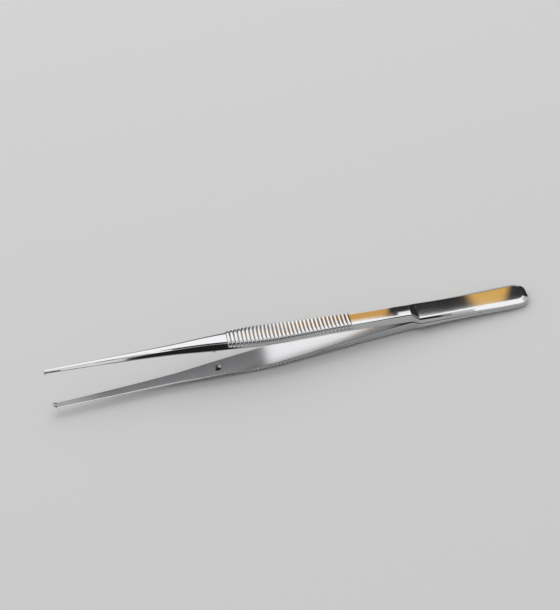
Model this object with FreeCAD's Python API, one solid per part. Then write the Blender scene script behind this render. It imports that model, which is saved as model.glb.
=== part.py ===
import FreeCAD, Part
import math
import os
from FreeCAD import Vector

# Fine tissue forceps with one tooth against two, lying on their lower arm.
# Each arm is one forging: a flat spring leaf at the rear, a shoulder, a slim bar, a ribbed grip
# and a tapering shank. The arms are welded face to face at the rear, and a guide pin in the
# upper one enters a hole in the lower one when they are squeezed together.
# u runs from the rear end to the tips, y is the width, and h is the height over an arm's inner
# face. Last, the tips are turned to -X and the instrument is laid down on what it rests on.

# Stations along the arm, from the rear end, in mm
length = 154.3
heel_station = 9.5
weld_length = 16.2
leaf_length = 35.6
shoulder_length = 2.3
grip_start = 57.0
grip_widest = 84.0
pin_station = 100.9
shank_station = 116.0

# Spring form of the inner faces
slit_width = 0.2
bend_radius = 60.0
spread_angle = 5.0
sweep_radius = 1650.0

# Welded rear end and spring leaf
heel_width = 10.4
heel_thickness = 1.25
weld_thickness = 1.4
heel_corner_radius = 3.8
leaf_width = 8.9
leaf_thickness = 1.85
leaf_bevel = 0.5
seam_bevel = 0.12
leaf_taper_share = 0.3
leaf_swell_share = 0.25
edge_margin = 0.12

# Slim bar
bar_width = 5.7
bar_thickness = 2.85
bar_bevel = 0.3

# Ribbed grip
ridge_count = 32
ridge_pitch = 1.235
ridge_height = 0.38
rib_foot_share = 0.45
rib_sink = 0.06
rib_shoulder_place = 0.25
rib_shoulder_share = 0.8
grip_rear_width = 6.5
grip_rear_back = 6.4
grip_rear_flat = 4.6
grip_rear_thickness = 2.2
grip_rear_corner_share = 0.94
grip_width = 9.6
grip_back = 8.0
grip_flat = 5.6
grip_thickness = 1.7
grip_corner_share = 0.92

# Smooth shank and tips
neck_width = 7.9
neck_back = 4.8
neck_flat = 3.4
neck_thickness = 1.8
neck_corner_share = 0.92
shank_width = 5.5
shank_back = 2.9
shank_flat = 1.7
shank_thickness = 1.4
shank_corner_share = 0.85
upper_tip_width = 1.9
lower_tip_width = 2.8
tip_thickness = 0.75
tip_back_share = 0.6
tip_flat_share = 0.35
tip_corner_share = 0.7
edge_bevel = 0.15

# Teeth
tooth_height = 0.9
tooth_length = 1.3
tooth_width = 1.3
tooth_point = 0.12
tooth_play = 0.06
tooth_root = 0.3

# Guide pin and its hole
pin_diameter = 1.0
pin_reach = 3.1
pin_seat_depth = 1.2
pin_nose = 0.3
guide_play = 0.3
sink_diameter = 3.0

# Sections that a smooth stretch is drawn through
bend_spans = 3
bar_spans = 4
grip_spans = 8
shank_spans = 11

grip_end = grip_start + ridge_count * ridge_pitch
bar_start = leaf_length + shoulder_length
bend_end = leaf_length + bend_radius * math.radians(spread_angle)
slit_slope = 0.5 * slit_width / (leaf_length - weld_length)
hole_diameter = pin_diameter + 2 * guide_play


def inner_height(u):
    """Half the gap between the arms: welded, slit, bend, then one long sweep."""
    if u <= weld_length:
        return 0.0
    height = slit_slope * (u - weld_length)
    bend = min(max(u - leaf_length, 0.0), bend_end - leaf_length)
    height += bend ** 2 / (2 * bend_radius)
    free = max(u - bend_end, 0.0)
    height += free * math.radians(spread_angle) - free ** 2 / (2 * sweep_radius)
    return height


def inner_angle(u, step=0.01):
    return math.atan2(inner_height(u + step) - inner_height(u - step), 2 * step)


def smooth(knots, u):
    """Value at u on a curve through the knots that never overshoots them."""
    runs = [(b[1] - a[1]) / (b[0] - a[0]) for a, b in zip(knots, knots[1:])]
    slopes = [0.0]
    for left, right in zip(runs, runs[1:]):
        slopes.append(2 * left * right / (left + right) if left * right > 0 else 0.0)
    slopes.append(runs[-1])
    for i, (a, b) in enumerate(zip(knots, knots[1:])):
        if u <= b[0] or i == len(runs) - 1:
            span = b[0] - a[0]
            t = (u - a[0]) / span
            return (a[1] * (1 + 2 * t) * (1 - t) ** 2 + b[1] * t ** 2 * (3 - 2 * t)
                    + span * slopes[i] * t * (1 - t) ** 2 - span * slopes[i + 1] * t ** 2 * (1 - t))


def measures(u, tip_width):
    """Half widths and heights of the corners at station u, from the inner face out."""
    def along(bar, rear, grip, neck, shank, tip):
        places = (bar_start, grip_start, grip_widest, pin_station, shank_station, length)
        return smooth(list(zip(places, (bar, rear, grip, neck, shank, tip))), u)

    side = along(bar_width, grip_rear_width, grip_width, neck_width, shank_width, tip_width) / 2
    back = along(bar_width, grip_rear_back, grip_back, neck_back, shank_back,
                 tip_back_share * tip_width) / 2
    flat = along(bar_width - 2 * bar_bevel, grip_rear_flat, grip_flat, neck_flat, shank_flat,
                 tip_flat_share * tip_width) / 2
    top = along(bar_thickness, grip_rear_thickness, grip_thickness, neck_thickness,
                shank_thickness, tip_thickness)
    corner = top * along(1 - bar_bevel / bar_thickness, grip_rear_corner_share, grip_corner_share,
                         neck_corner_share, shank_corner_share, tip_corner_share)
    bevel = along(bar_bevel, edge_bevel, edge_bevel, edge_bevel, edge_bevel, edge_bevel)
    return [(side - bevel, 0.0), (side, bevel), (back, corner), (flat, top)]


def outline(u, corners):
    """Closed outline across the arm, standing on its inner face."""
    base = inner_height(u)
    points = [Vector(u, -y, base + h) for y, h in corners]
    points += [Vector(u, y, base + h) for y, h in reversed(corners)]
    return Part.makePolygon(points + points[:1])


def rib_outline(u, middle, corners, rise):
    """Outline of a grip rib: the back and upper flanks of a station, moved out by rise."""
    (inner, _), (side, low), (back, corner), (flat, top) = corners
    flank = math.atan2(corner - low, side - back)
    slope = math.atan2(top - corner, back - flat)
    foot = (side + rib_foot_share * (back - side), low + rib_foot_share * (corner - low))
    bend = rise * math.tan((flank - slope) / 2)
    crest = rise * math.tan(slope / 2)
    points = [(foot[0] + rise * math.sin(flank), foot[1] + rise * math.cos(flank)),
              (back + rise * math.sin(flank) - bend * math.cos(flank),
               corner + rise * math.cos(flank) + bend * math.sin(flank)),
              (flat + crest, top + rise)]
    base = inner_height(middle)
    loop = [Vector(u, -y, base + h) for y, h in points]
    loop += [Vector(u, y, base + h) for y, h in reversed(points)]
    return Part.makePolygon(loop + loop[:1])


def rib(middle, corners):
    """One rounded rib across the back, sunk a little into it at both sides."""
    shoulder = rib_shoulder_share * ridge_height
    levels = ((-0.5, -rib_sink), (-rib_shoulder_place, shoulder), (0.0, ridge_height),
              (rib_shoulder_place, shoulder), (0.5, -rib_sink))
    loops = [rib_outline(middle + share * ridge_pitch, middle, corners, rise) for share, rise in levels]
    return Part.makeLoft(loops, True, True)


def leaf():
    """Spring leaf with the rounded, welded rear end."""
    half, wide, turn = leaf_width / 2, heel_width / 2, heel_corner_radius
    flat_end = wide - turn
    lean = turn * math.sqrt(0.5)
    middle = Vector((leaf_length + heel_station) / 2, half + leaf_taper_share * (wide - half), 0)
    right = [Part.LineSegment(Vector(0, 0, 0), Vector(0, flat_end, 0)),
             Part.Arc(Vector(0, flat_end, 0), Vector(turn - lean, flat_end + lean, 0),
                      Vector(turn, wide, 0)),
             Part.LineSegment(Vector(turn, wide, 0), Vector(heel_station, wide, 0)),
             Part.Arc(Vector(heel_station, wide, 0), middle, Vector(leaf_length, half, 0)),
             Part.LineSegment(Vector(leaf_length, half, 0), Vector(leaf_length, 0, 0))]
    edges = [piece.toShape() for piece in right]
    edges += [edge.mirror(Vector(), Vector(0, 1, 0)) for edge in edges]
    plan = Part.Face(Part.Wire(Part.sortEdges(edges)[0]))
    plan.translate(Vector(0, 0, -leaf_thickness))
    blank = plan.extrude(Vector(0, 0, 4 * leaf_thickness))

    root = inner_height(leaf_length)
    rise = (weld_thickness - heel_thickness) / weld_length
    slit = leaf_length - weld_length
    swell = leaf_swell_share * (root + leaf_thickness - weld_thickness - rise * slit)
    crest = weld_thickness + 0.5 * rise * slit + swell
    profile = [Part.LineSegment(Vector(0, -wide, 0), Vector(weld_length, -wide, 0)),
               Part.LineSegment(Vector(weld_length, -wide, 0), Vector(leaf_length, -wide, root)),
               Part.LineSegment(Vector(leaf_length, -wide, root),
                                Vector(leaf_length, -wide, root + leaf_thickness)),
               Part.Arc(Vector(leaf_length, -wide, root + leaf_thickness),
                        Vector(weld_length + slit / 2, -wide, crest),
                        Vector(weld_length, -wide, weld_thickness)),
               Part.LineSegment(Vector(weld_length, -wide, weld_thickness),
                                Vector(0, -wide, heel_thickness)),
               Part.LineSegment(Vector(0, -wide, heel_thickness), Vector(0, -wide, 0))]
    side = Part.Face(Part.Wire([piece.toShape() for piece in profile]))
    body = blank.common(side.extrude(Vector(0, 2 * wide, 0)))

    def rim(low, high):
        boxes = [(edge, edge.BoundBox) for edge in body.Edges]
        return [edge for edge, box in boxes if box.ZMin >= low and box.ZMax <= high
                and (box.XLength > edge_margin or box.XMin < edge_margin)]

    outer = rim(heel_thickness - edge_margin, root + leaf_thickness + edge_margin)
    inner = rim(-edge_margin, root + edge_margin)
    return body.makeChamfer(leaf_bevel, outer).makeChamfer(seam_bevel, inner)


def leaf_corners():
    half = leaf_width / 2
    return [(half - seam_bevel, 0.0), (half, seam_bevel),
            (half, leaf_thickness - leaf_bevel), (half - leaf_bevel, leaf_thickness)]


def run(start, end, spans, tip_width=lower_tip_width):
    """Smooth stretch of an arm between two stations."""
    places = [start + i * (end - start) / spans for i in range(spans + 1)]
    return Part.makeLoft([outline(u, measures(u, tip_width)) for u in places], True, False, False, 3)


def handle():
    """Rear of an arm, the same in both: leaf, shoulder, bar and ribbed grip."""
    first = measures(bar_start, lower_tip_width)
    shoulder = Part.makeLoft([outline(leaf_length, leaf_corners()), outline(bar_start, first)], True, True)
    middles = [grip_start + (i + 0.5) * ridge_pitch for i in range(ridge_count)]
    ribs = [rib(u, measures(u, lower_tip_width)) for u in middles]
    grip = run(grip_start, grip_end, grip_spans).fuse(ribs)
    return leaf().fuse([shoulder, run(bar_start, bend_end, bend_spans), run(bend_end, grip_start, bar_spans), grip])


def tooth(y):
    """Three-sided tooth at the tip, on the inner face and pointing to the other arm."""
    face = inner_height(length)
    spread = 0.5 * tooth_width * (1 + tooth_root / tooth_height)
    back = tooth_length * (1 + tooth_root / tooth_height)
    levels = ((face + tooth_root, back, spread), (face - tooth_height, tooth_point, tooth_point / 2))
    loops = []
    for h, reach, half in levels:
        points = [Vector(length - reach, y - half, h), Vector(length, y - half, h),
                  Vector(length, y + half, h), Vector(length - reach, y + half, h)]
        loops.append(Part.makePolygon(points + points[:1]))
    return Part.makeLoft(loops, True, True)


def square_to_face(shape):
    """Stand a shape made on the origin, +Z outwards, square on the inner face at the pin."""
    shape.rotate(Vector(), Vector(0, 1, 0), -math.degrees(inner_angle(pin_station)))
    shape.translate(Vector(pin_station, 0, inner_height(pin_station)))
    return shape


def guide_pin():
    radius, nose = pin_diameter / 2, pin_nose
    lean = nose * (1 - math.sqrt(0.5))
    top, low = pin_seat_depth, -pin_reach
    corners = [Vector(0, 0, low), Vector(0, 0, top), Vector(radius, 0, top), Vector(radius, 0, low + nose)]
    edges = [Part.makeLine(start, end) for start, end in zip(corners, corners[1:])]
    edges.append(Part.Arc(corners[-1], Vector(radius - lean, 0, low + lean),
                          Vector(radius - nose, 0, low)).toShape())
    edges.append(Part.makeLine(Vector(radius - nose, 0, low), corners[0]))
    pin = Part.Face(Part.Wire(edges)).revolve(Vector(), Vector(0, 0, 1), 360)
    return square_to_face(pin)


def upper_arm(rear):
    seat = Part.makeCylinder(pin_diameter / 2, pin_seat_depth + pin_reach, Vector(0, 0, -pin_reach))
    front = run(grip_end, length, shank_spans, upper_tip_width)
    front = front.fuse(tooth(0.0)).cut(square_to_face(seat))
    return rear.fuse(front).removeSplitter()


def lower_arm(rear):
    drill = Part.makeCylinder(hole_diameter / 2, 4 * neck_thickness, Vector(0, 0, -2 * neck_thickness))
    depth = (sink_diameter - hole_diameter) / 2
    sink = Part.makeCone(sink_diameter / 2 + depth, hole_diameter / 2, 2 * depth, Vector(0, 0, -depth))
    offset = tooth_width / 2 + tooth_play
    front = run(grip_end, length, shank_spans, lower_tip_width).fuse([tooth(offset), tooth(-offset)])
    front = front.cut([square_to_face(drill), square_to_face(sink)])
    return rear.fuse(front).removeSplitter().mirror(Vector(), Vector(0, 0, 1))


def lie_down(shapes):
    """Turn the tips to -X, rest the instrument on its own hull and centre it over the origin."""
    for shape in shapes:
        shape.rotate(Vector(), Vector(0, 0, 1), 180)
    weight = sum(shape.Volume for shape in shapes)
    balance = sum(shape.Volume * shape.CenterOfGravity.x for shape in shapes) / weight
    points = sorted({(p.x, p.z) for shape in shapes for p in shape.tessellate(0.02)[0]})
    hull = []
    for point in points:
        while len(hull) > 1 and ((hull[-1][0] - hull[-2][0]) * (point[1] - hull[-2][1])
                                 <= (hull[-1][1] - hull[-2][1]) * (point[0] - hull[-2][0])):
            hull.pop()
        hull.append(point)
    left, right = next((a, b) for a, b in zip(hull, hull[1:]) if a[0] <= balance < b[0])
    tilt = math.degrees(math.atan2(right[1] - left[1], right[0] - left[0]))
    for shape in shapes:
        shape.rotate(Vector(), Vector(0, 1, 0), tilt)
    boxes = [shape.optimalBoundingBox(False) for shape in shapes]
    middle = [(min(getattr(box, axis + "Min") for box in boxes)
               + max(getattr(box, axis + "Max") for box in boxes)) / 2 for axis in ("X", "Y")]
    floor = min(box.ZMin for box in boxes)
    for shape in shapes:
        shape.translate(Vector(-middle[0], -middle[1], -floor))
    print("laid down by %.4f degrees, then moved by %.3f %.3f %.3f" % (tilt, -middle[0], -middle[1], -floor))


rear = handle()
nodes = {"upper_arm": upper_arm(rear), "lower_arm": lower_arm(rear), "guide_pin": guide_pin()}
lie_down(list(nodes.values()))
os.makedirs("parts", exist_ok=True)
for name, shape in nodes.items():
    shape.exportStep("parts/" + name + ".step")
    box = shape.optimalBoundingBox(False)
    print(name, shape.ShapeType, len(shape.Solids), "solids", len(shape.Faces), "faces",
          "valid" if shape.isValid() else "NOT VALID", "%.1f mm3" % shape.Volume,
          "X %.2f %.2f" % (box.XMin, box.XMax), "Y %.2f %.2f" % (box.YMin, box.YMax),
          "Z %.2f %.2f" % (box.ZMin, box.ZMax))
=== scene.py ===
import math
import bpy
import bmesh
from mathutils import Matrix, Vector


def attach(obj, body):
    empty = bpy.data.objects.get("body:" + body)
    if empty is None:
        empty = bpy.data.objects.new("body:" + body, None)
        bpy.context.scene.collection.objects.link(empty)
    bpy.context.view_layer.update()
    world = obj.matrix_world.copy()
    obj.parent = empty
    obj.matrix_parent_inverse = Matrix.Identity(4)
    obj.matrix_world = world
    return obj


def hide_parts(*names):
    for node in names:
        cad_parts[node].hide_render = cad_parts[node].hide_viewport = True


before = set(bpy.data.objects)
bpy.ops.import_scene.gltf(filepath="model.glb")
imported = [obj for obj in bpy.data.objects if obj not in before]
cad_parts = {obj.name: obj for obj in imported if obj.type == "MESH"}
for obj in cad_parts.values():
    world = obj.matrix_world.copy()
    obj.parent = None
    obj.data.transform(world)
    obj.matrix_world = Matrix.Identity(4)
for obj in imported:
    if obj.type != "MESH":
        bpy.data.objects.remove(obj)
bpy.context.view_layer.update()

# Fine tissue forceps, one tooth against two, lying on the lower arm.
# Sizes are in millimetres: u from the welded end to the tips, y the width,
# h the height off the plane where the arms are welded together.
mm = 0.001


def linear(hexColour):  # sRGB hex to the linear values that shaders take
    parts = [int(hexColour[i:i + 2], 16) / 255 for i in (1, 3, 5)]
    return [p / 12.92 if p <= 0.04045 else ((p + 0.055) / 1.055) ** 2.4 for p in parts] + [1.0]


def newObject(name, bm):
    bmesh.ops.recalc_face_normals(bm, faces=bm.faces[:])
    mesh = bpy.data.meshes.new(name)
    bm.to_mesh(mesh)
    bm.free()
    obj = bpy.data.objects.new(name, mesh)
    bpy.context.collection.objects.link(obj)
    return obj


# How the instrument lies: turned about Y, in degrees, and then moved
laySet = {"turn": 3.2577, "move": (77.223, 0.0, 1.224)}


def lay(u, y, h):  # from the instrument's own sizes to its place on the table
    turn = math.radians(laySet["turn"])
    x, z = -u * math.cos(turn) + h * math.sin(turn), u * math.sin(turn) + h * math.cos(turn)
    return (Vector((x, y, z)) + Vector(laySet["move"])) * mm


# Steel finishes: colour, roughness and its spread, and the length, width and depth of the marks.
# Real marks are some hundredths of a millimetre wide. They are drawn coarser, so that they show.
steelSet = {
    "buffed": ("#CDCDCE", 0.07, 0.02, (9.0, 0.12, 0.0006)),
    "satin": ("#C9C9CA", 0.27, 0.04, (6.0, 0.2, 0.0025)),
    # The drilled wall's dark colour is painted shade in the bore; its dullness is the drilled finish
    "drilledShaded": ("#7E7E7C", 0.42, 0.05, (0.8, 0.1, 0.002)),
    "markDetail": 3.0, "markRough": 0.6,  # how finely a mark breaks up
    "patch": 7.0, "patchDetail": 2.0,  # patches over which the gloss varies
}


def addNode(tree, kind, settings=None, links=None):  # one node with its settings and incoming links
    node = tree.nodes.new(kind)
    for key, value in (settings or {}).items():
        if key in node.inputs:
            node.inputs[key].default_value = value
        else:
            setattr(node, key, value)
    for key, source in (links or {}).items():
        tree.links.new(source, node.inputs[key])
    return node


def makeSteel(name, finish):
    colour, rough, spread, (length, width, depth) = steelSet[finish]
    mat = bpy.data.materials.new(name)
    mat.use_nodes = True
    tree = mat.node_tree
    shader = tree.nodes["Principled BSDF"]
    shader.inputs["Base Color"].default_value = linear(colour)
    shader.inputs["Metallic"].default_value = 1.0
    place = addNode(tree, "ShaderNodeTexCoord").outputs["Object"]
    stretch = addNode(tree, "ShaderNodeMapping", {
        "Rotation": (0, math.radians(-laySet["turn"]), 0),
        "Scale": (1 / (length * mm), 1 / (width * mm), 1 / (width * mm))}, {"Vector": place})
    marks = addNode(tree, "ShaderNodeTexNoise", {
        "Scale": 1.0, "Detail": steelSet["markDetail"], "Roughness": steelSet["markRough"]},
        {"Vector": stretch.outputs["Vector"]})
    bump = addNode(tree, "ShaderNodeBump", {"Strength": 1.0, "Distance": depth * mm},
                   {"Height": marks.outputs[0]})
    patches = addNode(tree, "ShaderNodeTexNoise", {
        "Scale": 1 / (steelSet["patch"] * mm), "Detail": steelSet["patchDetail"]}, {"Vector": place})
    gloss = addNode(tree, "ShaderNodeMapRange", {"To Min": rough - spread, "To Max": rough + spread},
                    {"Value": patches.outputs[0]})
    tree.links.new(gloss.outputs["Result"], shader.inputs["Roughness"])
    tree.links.new(bump.outputs["Normal"], shader.inputs["Normal"])
    return mat


print("steel")
# Stainless steel, buffed bright: sharp reflections with the faint streaks of the wheel
polished = makeSteel("polishedStainless", "buffed")
# Stainless steel, satin finished on a belt: a soft sheen drawn out along the arm
satin = makeSteel("satinStainless", "satin")
# Stainless steel, left as drilled: a dull wall inside the guide hole, its colour darkened as painted
# shade in the bore
drilledShaded = makeSteel("drilledShadedStainless", "drilledShaded")

# Form of one arm, the same for both except at the tip
armSet = {
    "length": 154.3, "heelWidth": 10.4, "heelStraight": 9.5, "heelCorner": 3.8,
    "leafWidth": 8.9, "leafEnd": 35.6,
    "leafTaper": 0.3,  # share of the narrowing that is left at its middle
    "weldEnd": 16.2, "slit": 0.2, "bend": 60.0, "spread": 5.0, "sweep": 1650.0,  # spread in degrees
    "heelThick": 1.25, "weldThick": 1.4, "leafThick": 1.85, "leafSwell": 0.0926,
    "facetFront": 0.5, "facetRear": 1.45, "facetRun": 22.0, "facetDrop": 0.5,
    "leafRounds": (0.1, 0.07, 0.25),  # inner edge, foot of the facet, top of the facet
    "barStart": 37.9, "gripStart": 57.0,
    "ribs": 32, "ribPitch": 1.235, "ribHeight": 0.36, "ribSink": 0.06,
    "ribPower": 2.2,  # a higher power makes the ribs squarer
    "ribFade": (1.5, 3.0),  # a rib starts so many points up the flank, and is full so many on
    # station, half width, half back, half crown, thickness, corner share, inner edge round, outer round
    "stations": (
        (37.9, 2.85, 2.85, 2.55, 2.85, 0.895, 0.2, 0.16),
        (57.0, 3.25, 3.2, 2.3, 2.2, 0.94, 0.15, 0.35),
        (84.0, 4.8, 4.0, 2.8, 1.7, 0.92, 0.15, 0.5),
        (100.9, 3.95, 2.4, 1.7, 1.8, 0.92, 0.4, 0.12),
        (116.0, 2.75, 1.45, 0.85, 1.4, 0.85, 0.7, 0.12),
        (154.3, 1.4, 0.84, 0.49, 0.75, 0.7, 0.5, 0.12)),
    "upperTip": (0.95, 0.57, 0.33), "lowerTip": (1.4, 0.84, 0.49),  # half width, back and crown
    "crownRise": 0.01, "crownRound": 1.5,  # in shares of the half crown and of the outer round
    "sharp": 38.0,  # edges bent by more degrees than this are shaded sharp
}
gripEnd = armSet["gripStart"] + armSet["ribs"] * armSet["ribPitch"]

# Points round half an arm's outline: shares of each straight side, and the count in each round
outlineSet = {
    "inner": (0.5, 0.94), "flank": (0.05, 0.28, 0.4, 0.5, 0.6, 0.75, 0.95),
    "facet": (0.06, 0.5, 0.94), "back": (0.1, 0.6),
    "round": 5, "roundMost": 0.45,  # a round takes no more than this share of a side
}
flatPoints = len(outlineSet["inner"]) + 1  # points on the flat of the inner face
flankStart = flatPoints + outlineSet["round"]  # first point on the flank

# Sections along an arm, by count, share or distance
ringSet = {
    "cornerSteps": 14, "heelShares": (0.3, 0.65, 1.0), "leafSteps": 26,
    "lipBack": 0.02, "lipOut": 0.0006,  # one more section just behind the shoulder keeps its edge crisp
    "shoulderShares": (0.01, 0.3, 0.65, 0.99),
    "barSteps": (0.02, 0.5, 1.2, 2.0, 3.0, 4.0, 5.5, 7.5, 9.5, 11.5, 13.5, 15.5, 17.2, 18.6),
    "ribShares": (0.03, 0.1, 0.22, 0.36, 0.5, 0.64, 0.78, 0.9, 0.97, 1.0), "shankSteps": 46,
    "endRound": 0.3, "endRings": ((0.3, 1.0), (0.1, 0.94), (0.02, 0.84), (0.0, 0.74)),  # back, size
    "merge": 0.002,
}


def innerHeight(u):  # half the gap between the arms: welded, slit, bend, then one long sweep
    a = armSet
    if u <= a["weldEnd"]:
        return 0.0
    bendLength = a["bend"] * math.radians(a["spread"])
    height = 0.5 * a["slit"] / (a["leafEnd"] - a["weldEnd"]) * (u - a["weldEnd"])
    height += min(max(u - a["leafEnd"], 0.0), bendLength) ** 2 / (2 * a["bend"])
    free = max(u - a["leafEnd"] - bendLength, 0.0)
    return height + free * math.radians(a["spread"]) - free ** 2 / (2 * a["sweep"])


def through(places, values, u):  # smooth curve through the values that never overshoots them
    knots = list(zip(places, values))
    runs = [(q[1] - p[1]) / (q[0] - p[0]) for p, q in zip(knots, knots[1:])]
    inside = [2 * p * q / (p + q) if p * q > 0 else 0.0 for p, q in zip(runs, runs[1:])]
    slopes = [0.0] + inside + [runs[-1]]
    i = next((k for k in range(len(runs)) if u <= knots[k + 1][0]), len(runs) - 1)
    span = knots[i + 1][0] - knots[i][0]
    t = (u - knots[i][0]) / span
    return (knots[i][1] * (1 + 2 * t) * (1 - t) ** 2 + knots[i + 1][1] * t * t * (3 - 2 * t)
            + span * slopes[i] * t * (1 - t) ** 2 - span * slopes[i + 1] * t * t * (1 - t))


def arch(start, middle, end, t):  # parabola through three values, at t of 0, a half and 1
    return start * (1 - t) * (1 - 2 * t) + middle * 4 * t * (1 - t) + end * t * (2 * t - 1)


def corner(before, at, after, reach):  # round a corner with a short curve
    before, at, after = Vector(before), Vector(at), Vector(after)
    most, count = outlineSet["roundMost"], outlineSet["round"]
    start = at + (before - at).normalized() * min(reach, most * (before - at).length)
    end = at + (after - at).normalized() * min(reach, most * (after - at).length)
    steps = [i / (count - 1) for i in range(count)]
    return [start * (1 - t) ** 2 + at * 2 * t * (1 - t) + end * t * t for t in steps]


def between(start, end, shares):
    return [start + (end - start) * s for s in shares]


def halfSection(points, innerRound, backRound, crownRound):  # middle of the inner face round to the back
    inner, edge, back, crown, middle = [Vector(p) for p in points]
    edgeArc = corner(inner, edge, back, innerRound)
    backArc = corner(edge, back, crown, backRound)
    crownArc = corner(back, crown, middle, crownRound)
    line = [inner] + between(inner, edgeArc[0], outlineSet["inner"]) + edgeArc
    line += between(edgeArc[-1], backArc[0], outlineSet["flank"]) + backArc
    line += between(backArc[-1], crownArc[0], outlineSet["facet"]) + crownArc
    return line + between(crownArc[-1], middle, outlineSet["back"]) + [middle]


def frontSection(u, tip):  # half outline of the bar, grip or shank, with its rib
    a = armSet
    *before, last = a["stations"]
    last = last[:1] + tip + last[len(tip) + 1:]
    places, *rows = zip(*before, last)
    side, back, crown, thick, share, innerRound, outerRound = (through(places, row, u) for row in rows)
    points = ((0, 0), (side, 0), (back, share * thick), (crown, thick),
              (0, thick + a["crownRise"] * crown))
    line = halfSection(points, innerRound, outerRound, a["crownRound"] * outerRound)
    rise = 0.0
    if a["gripStart"] < u < gripEnd:  # a rounded rib with a sharp valley on each side
        phase = abs(((u - a["gripStart"]) / a["ribPitch"]) % 1 * 2 - 1)
        rise = (a["ribHeight"] + a["ribSink"]) * math.sqrt(1 - phase ** a["ribPower"]) - a["ribSink"]
    fadeStart, fadeRun = a["ribFade"]
    section = []
    for i, p in enumerate(line):
        fade = min(max((i - flankStart - fadeStart) / fadeRun, 0.0), 1.0)
        fade = fade * fade * (3 - 2 * fade)
        ahead, behind = line[min(i + 1, len(line) - 1)], line[max(i - 1, 0)]
        along = (ahead - behind).normalized()
        y, h = p.x + along.y * rise * fade, p.y - along.x * rise * fade
        onMiddle = i in (0, len(line) - 1)
        section.append((u, 0.0 if onMiddle else max(y, 0.0), innerHeight(u) + h))
    return section


def leafTop(u):  # thickness of the leaf over its inner face
    a = armSet
    if u <= a["weldEnd"]:
        return a["heelThick"] + (a["weldThick"] - a["heelThick"]) * u / a["weldEnd"]
    low, high = a["weldThick"], innerHeight(a["leafEnd"]) + a["leafThick"]
    rise = (a["weldThick"] - a["heelThick"]) / a["weldEnd"] * (a["leafEnd"] - a["weldEnd"])
    middle = low + 0.5 * rise + a["leafSwell"]
    t = (u - a["weldEnd"]) / (a["leafEnd"] - a["weldEnd"])
    return arch(low, middle, high, t) - innerHeight(u)


def leafSection(u, y, normal):  # half outline square to the leaf's edge, so it turns round the rear end
    a = armSet
    share = min(max((a["leafEnd"] - u) / a["facetRun"], 0.0), 1.0)
    facet = a["facetFront"] + (a["facetRear"] - a["facetFront"]) * share
    inside = Vector((u, y)) - Vector(normal) * facet
    top = leafTop(max(inside.x, 0.0))
    flat = max(y - facet, 0.001)  # half the flat of the top, never nothing
    points = ((0, 0), (y, 0), (y, top - a["facetDrop"]), (y - facet, top), (0, top))
    section = []
    for p in halfSection(points, *a["leafRounds"]):
        depth = y - p.x
        if depth <= facet:
            place = Vector((u, y)) - Vector(normal) * depth
        else:
            place = Vector((inside.x, inside.y * p.x / flat))
        section.append((place.x, place.y, innerHeight(max(place.x, 0.0)) + p.y))
    return section


def leafPlan():  # edge of the leaf from the rear end to the shoulder: u, y and outward normal
    a, r = armSet, ringSet
    wide, radius, half = a["heelWidth"] / 2, a["heelCorner"], a["leafWidth"] / 2
    outward = (0.0, 1.0)
    plan = []
    for i in range(r["cornerSteps"] + 1):
        turn = math.pi / 2 * (1 - i / r["cornerSteps"])
        plan.append((radius * (1 - math.sin(turn)), wide - radius * (1 - math.cos(turn)),
                     (-math.sin(turn), math.cos(turn))))
    plan += [(radius + (a["heelStraight"] - radius) * s, wide, outward) for s in r["heelShares"]]
    span = a["leafEnd"] - a["heelStraight"]
    middle = half + a["leafTaper"] * (wide - half)
    for i in range(1, r["leafSteps"] + 1):
        t = i / r["leafSteps"]
        plan.append((a["heelStraight"] + span * t, arch(wide, middle, half, t), outward))
    plan.insert(-1, (a["leafEnd"] - r["lipBack"], half + r["lipOut"], outward))
    return plan


def armRings(tip):
    a, r = armSet, ringSet
    rings = [leafSection(u, y, normal) for u, y, normal in leafPlan()]
    foot, head = rings[-1], frontSection(a["barStart"], tip)
    for s in r["shoulderShares"]:
        rings.append([tuple(p + (q - p) * s for p, q in zip(one, other))
                      for one, other in zip(foot, head)])
    rings.append(head)
    stations = [a["barStart"] + d for d in r["barSteps"]] + [a["gripStart"]]
    for k in range(a["ribs"]):
        stations += [a["gripStart"] + a["ribPitch"] * (k + s) for s in r["ribShares"]]
    stations[-1] = gripEnd
    steps = r["shankSteps"]
    stations += [gripEnd + (a["length"] - gripEnd) * i / steps for i in range(1, steps)]
    rings += [frontSection(u, tip) for u in stations]
    last = frontSection(a["length"], tip)
    base = innerHeight(a["length"])
    for back, size in r["endRings"]:  # rounded end
        rings.append([(u - back, y * size, base + r["endRound"] + (h - base - r["endRound"]) * size)
                      for u, y, h in last])
    return rings


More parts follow.
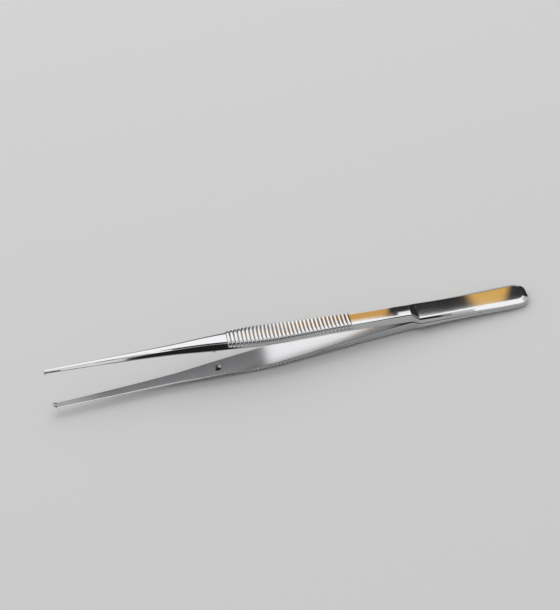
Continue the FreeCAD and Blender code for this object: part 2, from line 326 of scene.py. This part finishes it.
def makeArm(name, side, tip):  # skin over the rings, side is 1 for the upper arm and -1 for the lower
    rings = armRings(tip)
    half = len(rings[0])
    around, along = 2 * half - 2, len(rings) - 1
    bm = bmesh.new()
    bmesh.ops.create_grid(bm, x_segments=around, y_segments=along, size=1.0)
    rows = {}
    for vert in bm.verts:
        i, j = round((vert.co.x + 1) / 2 * around), round((vert.co.y + 1) / 2 * along)
        u, y, h = rings[j][i if i < half else around - i]
        rows[vert] = (i, j)
        vert.co = lay(u, y if i < half else -y, side * h)
    for face in bm.faces:  # satin inner face, polished elsewhere
        face.smooth = True
        places = [min(rows[v][0], around - rows[v][0]) for v in face.verts]
        face.material_index = 1 if max(places) <= flatPoints else 0
    rear = sorted((v for v, (i, j) in rows.items() if j == 0), key=lambda v: rows[v][0])
    bmesh.ops.remove_doubles(bm, verts=bm.verts[:], dist=ringSet["merge"] * mm)
    rear = [v for v in rear if v.is_valid]
    for k in range(half - 1):  # close the rear end between its two sides
        loop = [rear[k], rear[k + 1], rear[(around - k - 1) % len(rear)], rear[(around - k) % len(rear)]]
        loop = list(dict.fromkeys(loop))
        if len(loop) > 2 and not bm.faces.get(loop):
            bm.faces.new(loop).smooth = True
    openEdges = [e for e in bm.edges if e.is_boundary]
    bmesh.ops.holes_fill(bm, edges=openEdges, sides=0)
    arm = newObject(name, bm)
    arm.data.materials.append(polished)
    arm.data.materials.append(satin)
    return arm


# Teeth: one on the upper arm stands between two on the lower arm
toothSet = {
    "height": 0.9, "long": 1.3, "wide": 1.3, "root": 0.3, "play": 0.06, "point": 0.12,
    "rootGrow": 1.3,  # the root lies in the arm and is so many times as large
    "edgeRound": 0.05,
}


def addTooth(bm, side, y):
    t = toothSet
    arm = set(bm.faces)
    innerFace = innerHeight(armSet["length"])
    made = bmesh.ops.create_cube(bm, size=1.0)["verts"]
    for vert in made:
        top = vert.co.z > 0
        reach = (t["point"] if top else t["long"] * t["rootGrow"]) if vert.co.x > 0 else 0.0
        wide = (t["point"] if top else t["wide"] * t["rootGrow"]) * vert.co.y
        height = innerFace - t["height"] if top else innerFace + t["root"]
        vert.co = lay(armSet["length"] - reach, y + wide, side * height)
    edges = list({e for v in made for e in v.link_edges})
    bmesh.ops.bevel(bm, geom=edges, offset=t["edgeRound"] * mm, segments=2, profile=0.5,
                    affect="EDGES", material=-1)
    for face in set(bm.faces) - arm:
        face.material_index = 1


def joinTeeth(obj, side, places):
    bm = bmesh.new()
    bm.from_mesh(obj.data)
    for y in places:
        addTooth(bm, side, y)
    bmesh.ops.recalc_face_normals(bm, faces=bm.faces[:])
    bm.to_mesh(obj.data)
    bm.free()


print("arms")
upperArm = makeArm("upperArm", 1, armSet["upperTip"])
lowerArm = makeArm("lowerArm", -1, armSet["lowerTip"])
offset = toothSet["wide"] / 2 + toothSet["play"]
joinTeeth(upperArm, 1, (0.0,))
joinTeeth(lowerArm, -1, (offset, -offset))

# Guide hole in the lower arm, with a countersink on its inner face
holeSet = {
    "station": 100.9, "radius": 0.8, "sink": 1.35, "sinkDeep": 0.55,
    "below": 6.0, "above": 1.0,  # how far the cutter reaches to each side of the inner face
    "steps": 48, "start": 3.0,  # its faces start so many degrees off the arm's middle line
    "merge": 0.0001,
}


def cutHole(obj):
    hole = holeSet
    at, radius, sink, deep = hole["station"], hole["radius"], hole["sink"], hole["sinkDeep"]
    low, high = -hole["below"], hole["above"]
    wide = sink + (sink - radius) / deep * high
    bm = bmesh.new()
    outline = ((0, low), (radius, low), (radius, -deep), (wide, high), (0, high))
    profile = [bm.verts.new((x, 0, z)) for x, z in outline]
    edges = [bm.edges.new(pair) for pair in zip(profile, profile[1:])]
    bmesh.ops.spin(bm, geom=profile + edges, cent=(0, 0, 0), axis=(0, 0, 1), dvec=(0, 0, 0),
                   angle=2 * math.pi, steps=hole["steps"], use_merge=True)
    bmesh.ops.remove_doubles(bm, verts=bm.verts[:], dist=hole["merge"])
    bmesh.ops.recalc_face_normals(bm, faces=bm.faces[:])
    for face in bm.faces:  # satin countersink, drilled bore with its steel darkened as painted shade
        face.material_index = 1 if max(v.co.z for v in face.verts) > -deep / 2 else 2
    step = 0.1
    slope = math.atan2(innerHeight(at + step) - innerHeight(at - step), 2 * step)
    turn = Matrix.Rotation(math.radians(laySet["turn"]) - slope, 3, "Y")
    turn = turn @ Matrix.Rotation(math.radians(hole["start"]), 3, "Z")
    centre = lay(at, 0, -innerHeight(at))
    for vert in bm.verts:
        vert.co = centre + (turn @ vert.co) * mm
    cutter = newObject("holeCutter", bm)
    # the bore's wall takes steel darkened as painted shade
    obj.data.materials.append(drilledShaded)
    cut = obj.modifiers.new("guideHole", "BOOLEAN")
    cut.operation = "DIFFERENCE"
    cut.object = cutter
    cut.solver = "EXACT"
    cut.use_self = True
    bpy.context.view_layer.update()
    done = bpy.data.meshes.new_from_object(obj.evaluated_get(bpy.context.evaluated_depsgraph_get()))
    obj.modifiers.clear()
    obj.data = done
    bpy.data.objects.remove(cutter)


# Small bead where the weld ends, on the near edge of the seam
weldSet = {
    "station": armSet["weldEnd"], "radius": 0.5, "out": 0.1, "shape": (1.5, 0.7, 0.8),
    "around": 24, "rings": 12,
}


def makeBead():
    w = weldSet
    edge = min((p for p in leafPlan() if p[0] > armSet["heelStraight"]),
               key=lambda p: abs(p[0] - w["station"]))
    bm = bmesh.new()
    bmesh.ops.create_uvsphere(bm, u_segments=w["around"], v_segments=w["rings"], radius=w["radius"] * mm)
    for face in bm.faces:
        face.smooth = True
    bmesh.ops.scale(bm, vec=w["shape"], verts=bm.verts)
    bmesh.ops.translate(bm, vec=lay(w["station"], w["out"] - edge[1], 0), verts=bm.verts)
    bead = newObject("weldBead", bm)
    bead.data.materials.append(polished)
    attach(bead, "root")


print("weld bead")
makeBead()
print("guide hole")
cutHole(lowerArm)
for arm in (upperArm, lowerArm):
    arm.data.set_sharp_from_angle(angle=math.radians(armSet["sharp"]))

for arm, node in ((upperArm, "upper_arm"), (lowerArm, "lower_arm")):
    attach(arm, "root")
    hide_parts(node)
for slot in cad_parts["guide_pin"].material_slots:
    slot.material = polished

# Camera: the photograph's viewing angle, with its own slight roll
cameraSet = {
    "azimuth": 1.720, "elevation": 37.168, "roll": -12.828,  # degrees
    "place": (-12.56, -413.41, 334.05), "lens": 107.36, "sensor": 36.0, "near": 10.0,
}


def makeCamera():
    azimuth, elevation, roll = (math.radians(cameraSet[k]) for k in ("azimuth", "elevation", "roll"))
    cam = bpy.data.objects.new("camera", bpy.data.cameras.new("camera"))
    cam.data.lens = cameraSet["lens"]
    cam.data.sensor_width = cameraSet["sensor"]
    cam.data.sensor_fit = "HORIZONTAL"
    cam.data.clip_start = cameraSet["near"] * mm
    turn = Matrix.Rotation(-azimuth, 4, "Z") @ Matrix.Rotation(math.pi / 2 - elevation, 4, "X")
    cam.matrix_world = (Matrix.Translation(Vector(cameraSet["place"]) * mm) @ turn
                        @ Matrix.Rotation(roll, 4, "Z"))
    bpy.context.collection.objects.link(cam)
    bpy.context.scene.camera = cam


print("camera")
makeCamera()
bpy.context.scene.view_settings.view_transform = "Standard"

# Stage: pale floor, pale room and a softbox behind
stageSet = {
    "floor": "#D6D6D4", "floorRough": 0.85, "floorGloss": 0.2, "floorHalf": 1500,
    "room": "#E4E5E6", "roomLight": 0.9,
    "box": {"place": (0, 720, 860), "aim": (0, 0, 0), "size": (1560, 1400), "power": 5.0},
}


def makeFloor():
    bm = bmesh.new()
    bmesh.ops.create_grid(bm, x_segments=1, y_segments=1, size=stageSet["floorHalf"] * mm)
    floor = newObject("floor", bm)
    # Paper, matt and pale grey: no reflections, only the soft shadow of the instrument
    paper = bpy.data.materials.new("mattPaper")
    paper.use_nodes = True
    shader = paper.node_tree.nodes["Principled BSDF"]
    shader.inputs["Base Color"].default_value = linear(stageSet["floor"])
    shader.inputs["Roughness"].default_value = stageSet["floorRough"]
    shader.inputs["Specular IOR Level"].default_value = stageSet["floorGloss"]
    floor.data.materials.append(paper)


def makeRoom():
    room = bpy.data.worlds.new("studio")
    bpy.context.scene.world = room
    room.use_nodes = True
    light = room.node_tree.nodes["Background"]
    light.inputs["Color"].default_value = linear(stageSet["room"])
    light.inputs["Strength"].default_value = stageSet["roomLight"]


def makeSoftbox(name, place, aim, size, power):
    data = bpy.data.lights.new(name, "AREA")
    data.shape = "RECTANGLE"
    data.size, data.size_y = size[0] * mm, size[1] * mm
    data.energy = power
    lamp = bpy.data.objects.new(name, data)
    lamp.location = Vector(place) * mm
    lamp.rotation_euler = (Vector(aim) - Vector(place)).to_track_quat("-Z", "Y").to_euler()
    bpy.context.collection.objects.link(lamp)


print("stage")
makeFloor()
makeRoom()
makeSoftbox("softbox", **stageSet["box"])

# Cards that only the steel mirrors. Each ends with the colours of card and spot,
# and the spot's centre and reach in shares of the card.
cardSet = {
    "spotFade": 0.3,  # outer share of the reach over which a spot fades
    "mirrorRise": 39.0,  # degrees over the floor at which the arms' backs mirror the room
}
# Cards in front: place, aim, size
frontCards = {
    "curtain": ((0, -525, 550), (0, 100, 0), (2600, 1330), "#A6A7A9", "#262628", (0.5, 0.62), (0.6, 0.3)),
    "tipCard": ((-82, -30, 84), (-62, 0, 15), (74, 52), "#FFFFFF", "#FFFFFF", (0.5, 0.5), (1.0, 1.0)),
    "edgeCard": ((-51, -9, 6), (-51, 0, 3), (60, 12), "#7A7B7D", "#FFFFFF", (0.98, 0.5), (0.83, 4.0)),
    "toothCard": ((-80, -13, 7), (-76, 0, 2), (16, 14), "#FFFFFF", "#FFFFFF", (0.5, 0.5), (1.0, 1.0)),
}
# Cards on the line of sight that the arms' backs mirror: place across, up and away along it, size
backCards = {
    "leafCard": ((108, -28, 90), (112, 62), "#343435", "#FFCB70", (0.3, 0.8), (0.092, 0.28)),
    "barCard": ((42, -6, 91), (30, 24), "#4A4038", "#F2BC6A", (0.16, 0.5), (0.82, 1.5)),
    "neckCard": ((-14, 50, 90), (40, 40), "#3A3A3A", "#3A3A3A", (0.5, 0.5), (1.0, 1.0)),
    "satinCard": ((-55, -6, 25), (94, 26), "#B4B4B2", "#707173", (0.7, 0.5), (0.4, 3.0)),
}


def makeGlow(name, colour, spot, centre, reach):  # even light with a soft round spot of a second colour
    mat = bpy.data.materials.new(name)
    mat.use_nodes = True
    tree = mat.node_tree
    tree.nodes.clear()
    place = addNode(tree, "ShaderNodeTexCoord").outputs["UV"]
    share = addNode(tree, "ShaderNodeMapping", {
        "Location": (-centre[0] / reach[0], -centre[1] / reach[1], 0),
        "Scale": (1 / reach[0], 1 / reach[1], 0)}, {"Vector": place})
    fade = addNode(tree, "ShaderNodeTexGradient", {"gradient_type": "SPHERICAL"},
                   {"Vector": share.outputs[0]})
    mask = addNode(tree, "ShaderNodeMapRange", {
        "From Max": cardSet["spotFade"], "interpolation_type": "SMOOTHSTEP"},
        {"Value": fade.outputs["Fac"]})
    both = addNode(tree, "ShaderNodeMixRGB", {"Color1": linear(colour), "Color2": linear(spot)},
                   {"Fac": mask.outputs["Result"]})
    glow = addNode(tree, "ShaderNodeEmission", links={"Color": both.outputs[0]})
    addNode(tree, "ShaderNodeOutputMaterial", links={"Surface": glow.outputs[0]})
    return mat


def makeCard(name, matrix, size, glow):
    bm = bmesh.new()
    bm.loops.layers.uv.new("card")
    bmesh.ops.create_grid(bm, x_segments=1, y_segments=1, size=0.5 * mm, calc_uvs=True)
    bmesh.ops.transform(bm, matrix=matrix @ Matrix.Diagonal((size[0], size[1], 1, 1)), verts=bm.verts)
    card = newObject(name, bm)
    card.data.materials.append(glow)
    card.visible_camera = card.visible_diffuse = card.visible_shadow = False


print("cards")
for name, (place, aim, size, *look) in frontCards.items():
    face = (Vector(aim) - Vector(place)).to_track_quat("Z", "Y").to_matrix().to_4x4()
    makeCard(name, Matrix.Translation(Vector(place) * mm) @ face, size, makeGlow(name, *look))
sight = Matrix.Rotation(math.radians(cardSet["mirrorRise"] + 90), 4, "X")
for name, ((across, up, away), size, *look) in backCards.items():
    place = Matrix.Translation(Vector((across, up, -away)) * mm)
    makeCard(name, sight @ place, size, makeGlow(name, *look))
